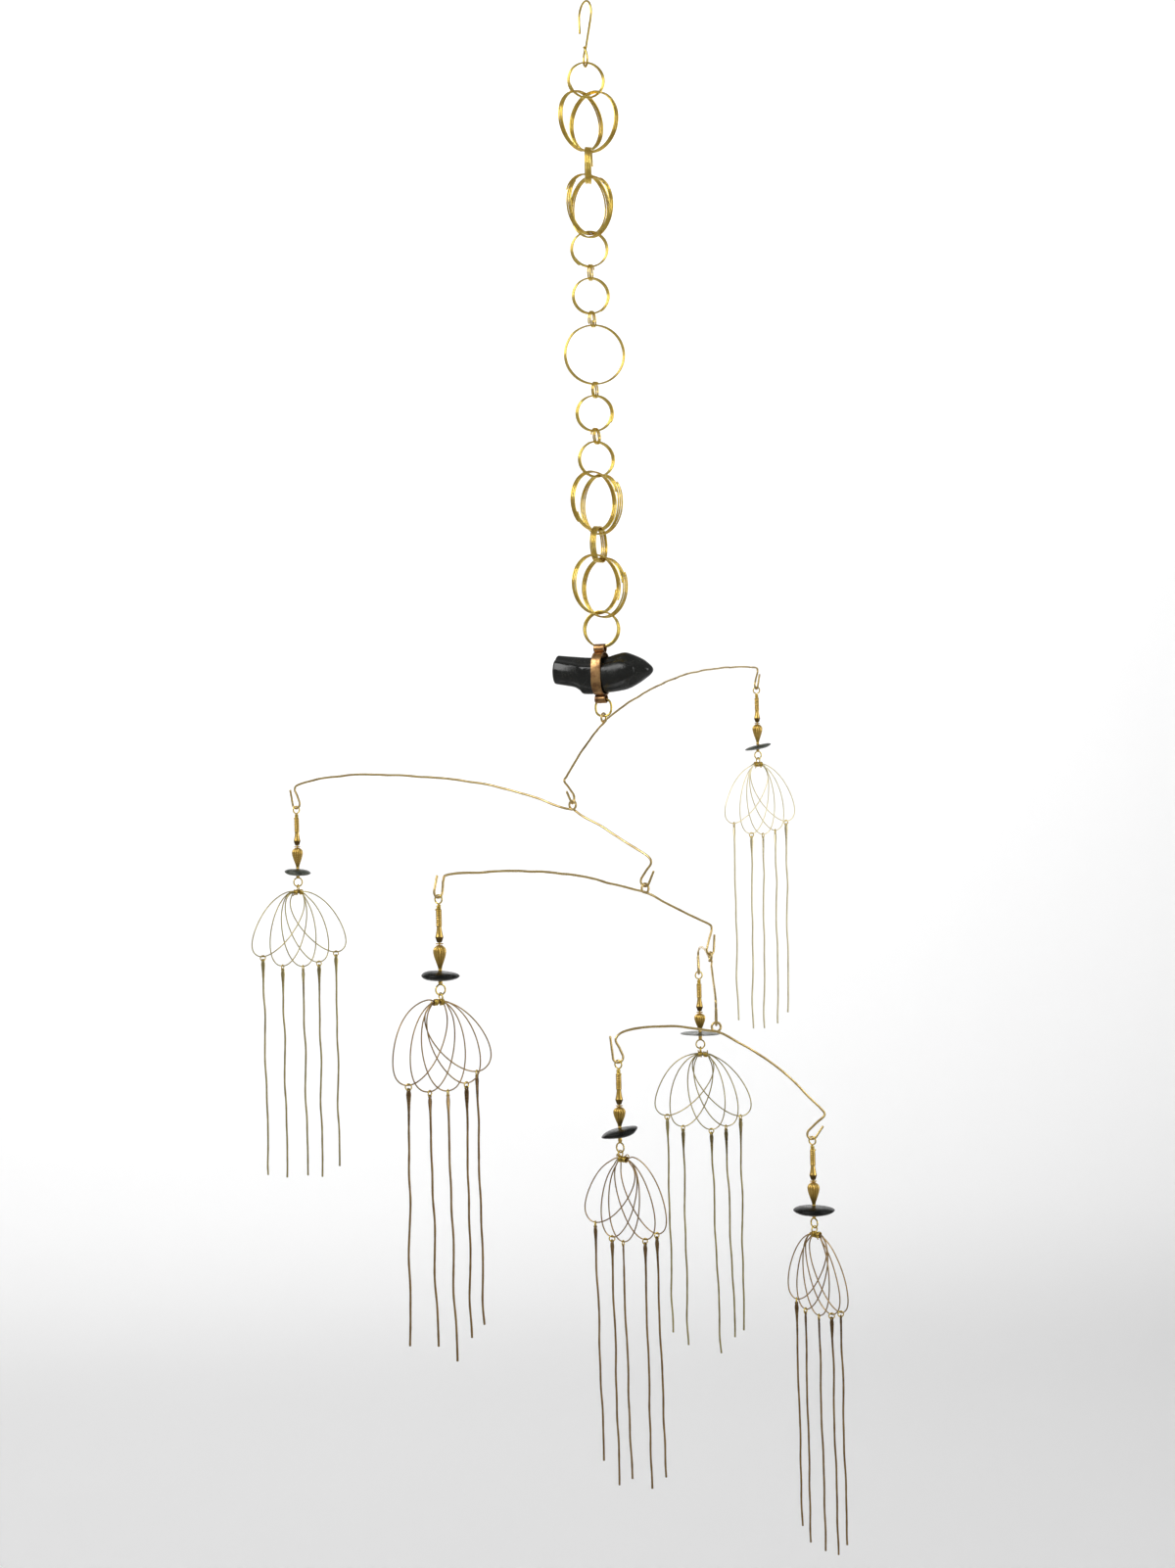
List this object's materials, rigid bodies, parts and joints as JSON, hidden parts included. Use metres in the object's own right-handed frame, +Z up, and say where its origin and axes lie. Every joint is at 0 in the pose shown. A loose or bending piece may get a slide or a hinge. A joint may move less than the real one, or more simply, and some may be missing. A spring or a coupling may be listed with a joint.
{
  "type": "hanging mobile",
  "caption": "Hanging mobile: a hook and a chain of coiled brass rings carry a strapped black stone, and bent wire beams below swing with beaded stems, stone discs and fringed wire fans.",
  "frame": {"origin": "the seat of the hook, where the inside of its bend rests on the rod", "axes": "+Z up along the chain; -Y towards the viewer of the front; a rod under the hook runs along X"},
  "size_m": [0.3662, 0.4868, 0.9284],
  "materials": {
    "brass": "bright brass wire with browner, tarnished places",
    "aged_brass": "browner aged brass, semi-gloss",
    "copper": "brown copper sheet with dark streaks",
    "stone": "polished near-black stone with a faint green-grey cast"
  },
  "bodies": {
    "chain": {"hook": "brass", "chain_ring_01": "brass", "chain_ring_02": "brass", "chain_ring_03": "brass", "chain_ring_04": "brass", "chain_ring_05": "brass", "chain_ring_06": "brass", "chain_ring_07": "brass", "chain_ring_08": "brass", "chain_ring_09": "brass", "chain_ring_10": "brass", "chain_ring_11": "brass", "chain_ring_12": "brass", "chain_ring_13": "brass", "chain_ring_14": "brass", "chain_ring_15": "brass", "chain_ring_16": "brass", "chain_ring_17": "brass", "chain_ring_18": "brass", "chain_ring_19": "brass", "chain_ring_20": "brass", "chain_ring_21": "brass", "stone": "stone", "strap": "copper", "stone_ring": "brass"},
    "tier_1": {"beam_1": "brass", "stem_a": "brass", "bead_a": "aged_brass", "disc_a": "stone", "fan_a": "aged_brass"},
    "tier_2": {"beam_2": "brass", "stem_b": "brass", "bead_b": "aged_brass", "disc_b": "stone", "fan_b": "aged_brass"},
    "tier_3": {"beam_3": "brass", "stem_c": "brass", "bead_c": "aged_brass", "disc_c": "stone", "fan_c": "aged_brass"},
    "tier_4": {"beam_4": "brass", "stem_d": "brass", "bead_d": "aged_brass", "disc_d": "stone", "fan_d": "aged_brass"},
    "tier_5": {"beam_5": "brass", "stem_e": "brass", "bead_e": "aged_brass", "disc_e": "stone", "fan_e": "aged_brass", "stem_f": "brass", "bead_f": "aged_brass", "disc_f": "stone", "fan_f": "aged_brass"}
  },
  "joints": [
    {"name": "swivel_1", "type": "hinge", "parent": "chain", "child": "tier_1", "pos_m": [0, 0, -0.43637], "axis": [0, 0, 1], "range_deg": [-30, 45]},
    {"name": "swivel_2", "type": "hinge", "parent": "tier_1", "child": "tier_2", "pos_m": [-0.02, -0.053, -0.48924], "axis": [0, 0, 1], "range_deg": [-20, 50]},
    {"name": "swivel_3", "type": "hinge", "parent": "tier_2", "child": "tier_3", "pos_m": [0.021, -0.085, -0.53781], "axis": [0, 0, 1], "range_deg": [-30, 35]},
    {"name": "swivel_4", "type": "hinge", "parent": "tier_3", "child": "tier_4", "pos_m": [0.0596, -0.048, -0.58088], "axis": [0, 0, 1], "range_deg": [-10, 60]},
    {"name": "swivel_5", "type": "hinge", "parent": "tier_4", "child": "tier_5", "pos_m": [0.0597, -0.0945, -0.61805], "axis": [0, 0, 1], "range_deg": [-20, 27]}
  ]
}
